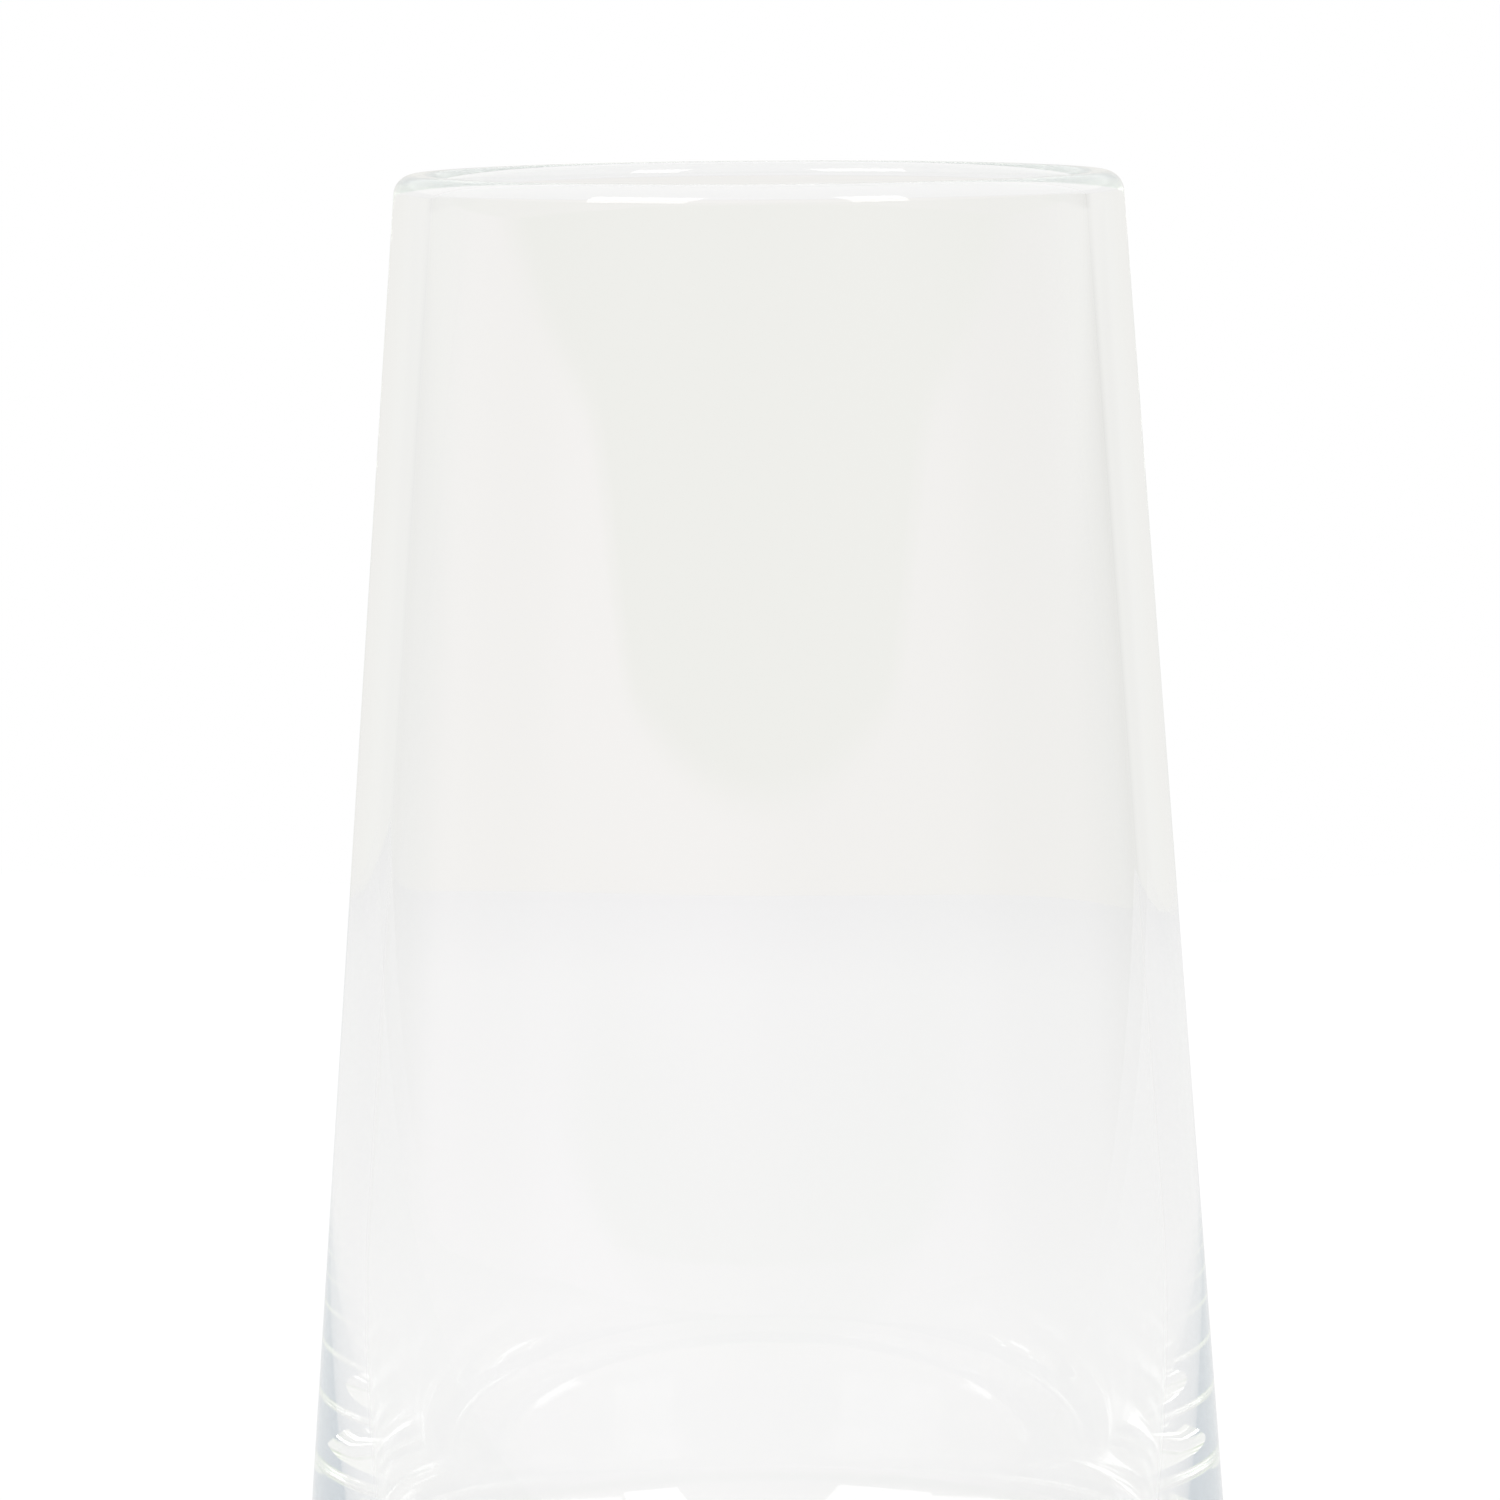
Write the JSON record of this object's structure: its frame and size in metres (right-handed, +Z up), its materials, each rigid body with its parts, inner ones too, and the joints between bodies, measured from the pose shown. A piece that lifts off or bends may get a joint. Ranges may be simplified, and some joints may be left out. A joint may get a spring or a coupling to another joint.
{
  "type": "highball glass",
  "caption": "Tall clear highball glass with straight sides that narrow towards the mouth, a thick wall, a rounded fire-polished rim and a heavy base on a flat foot ring.",
  "frame": {"origin": "middle of the foot, on the plane that the glass stands on", "axes": "+Z up along the axis of the glass, from the foot to the mouth; the form is round, so X and Y are free"},
  "size_m": [0.0792, 0.0792, 0.14],
  "materials": {
    "clear_glass": "fire-polished clear glass"
  },
  "bodies": {
    "root": {"tumbler": "clear_glass"}
  },
  "joints": []
}
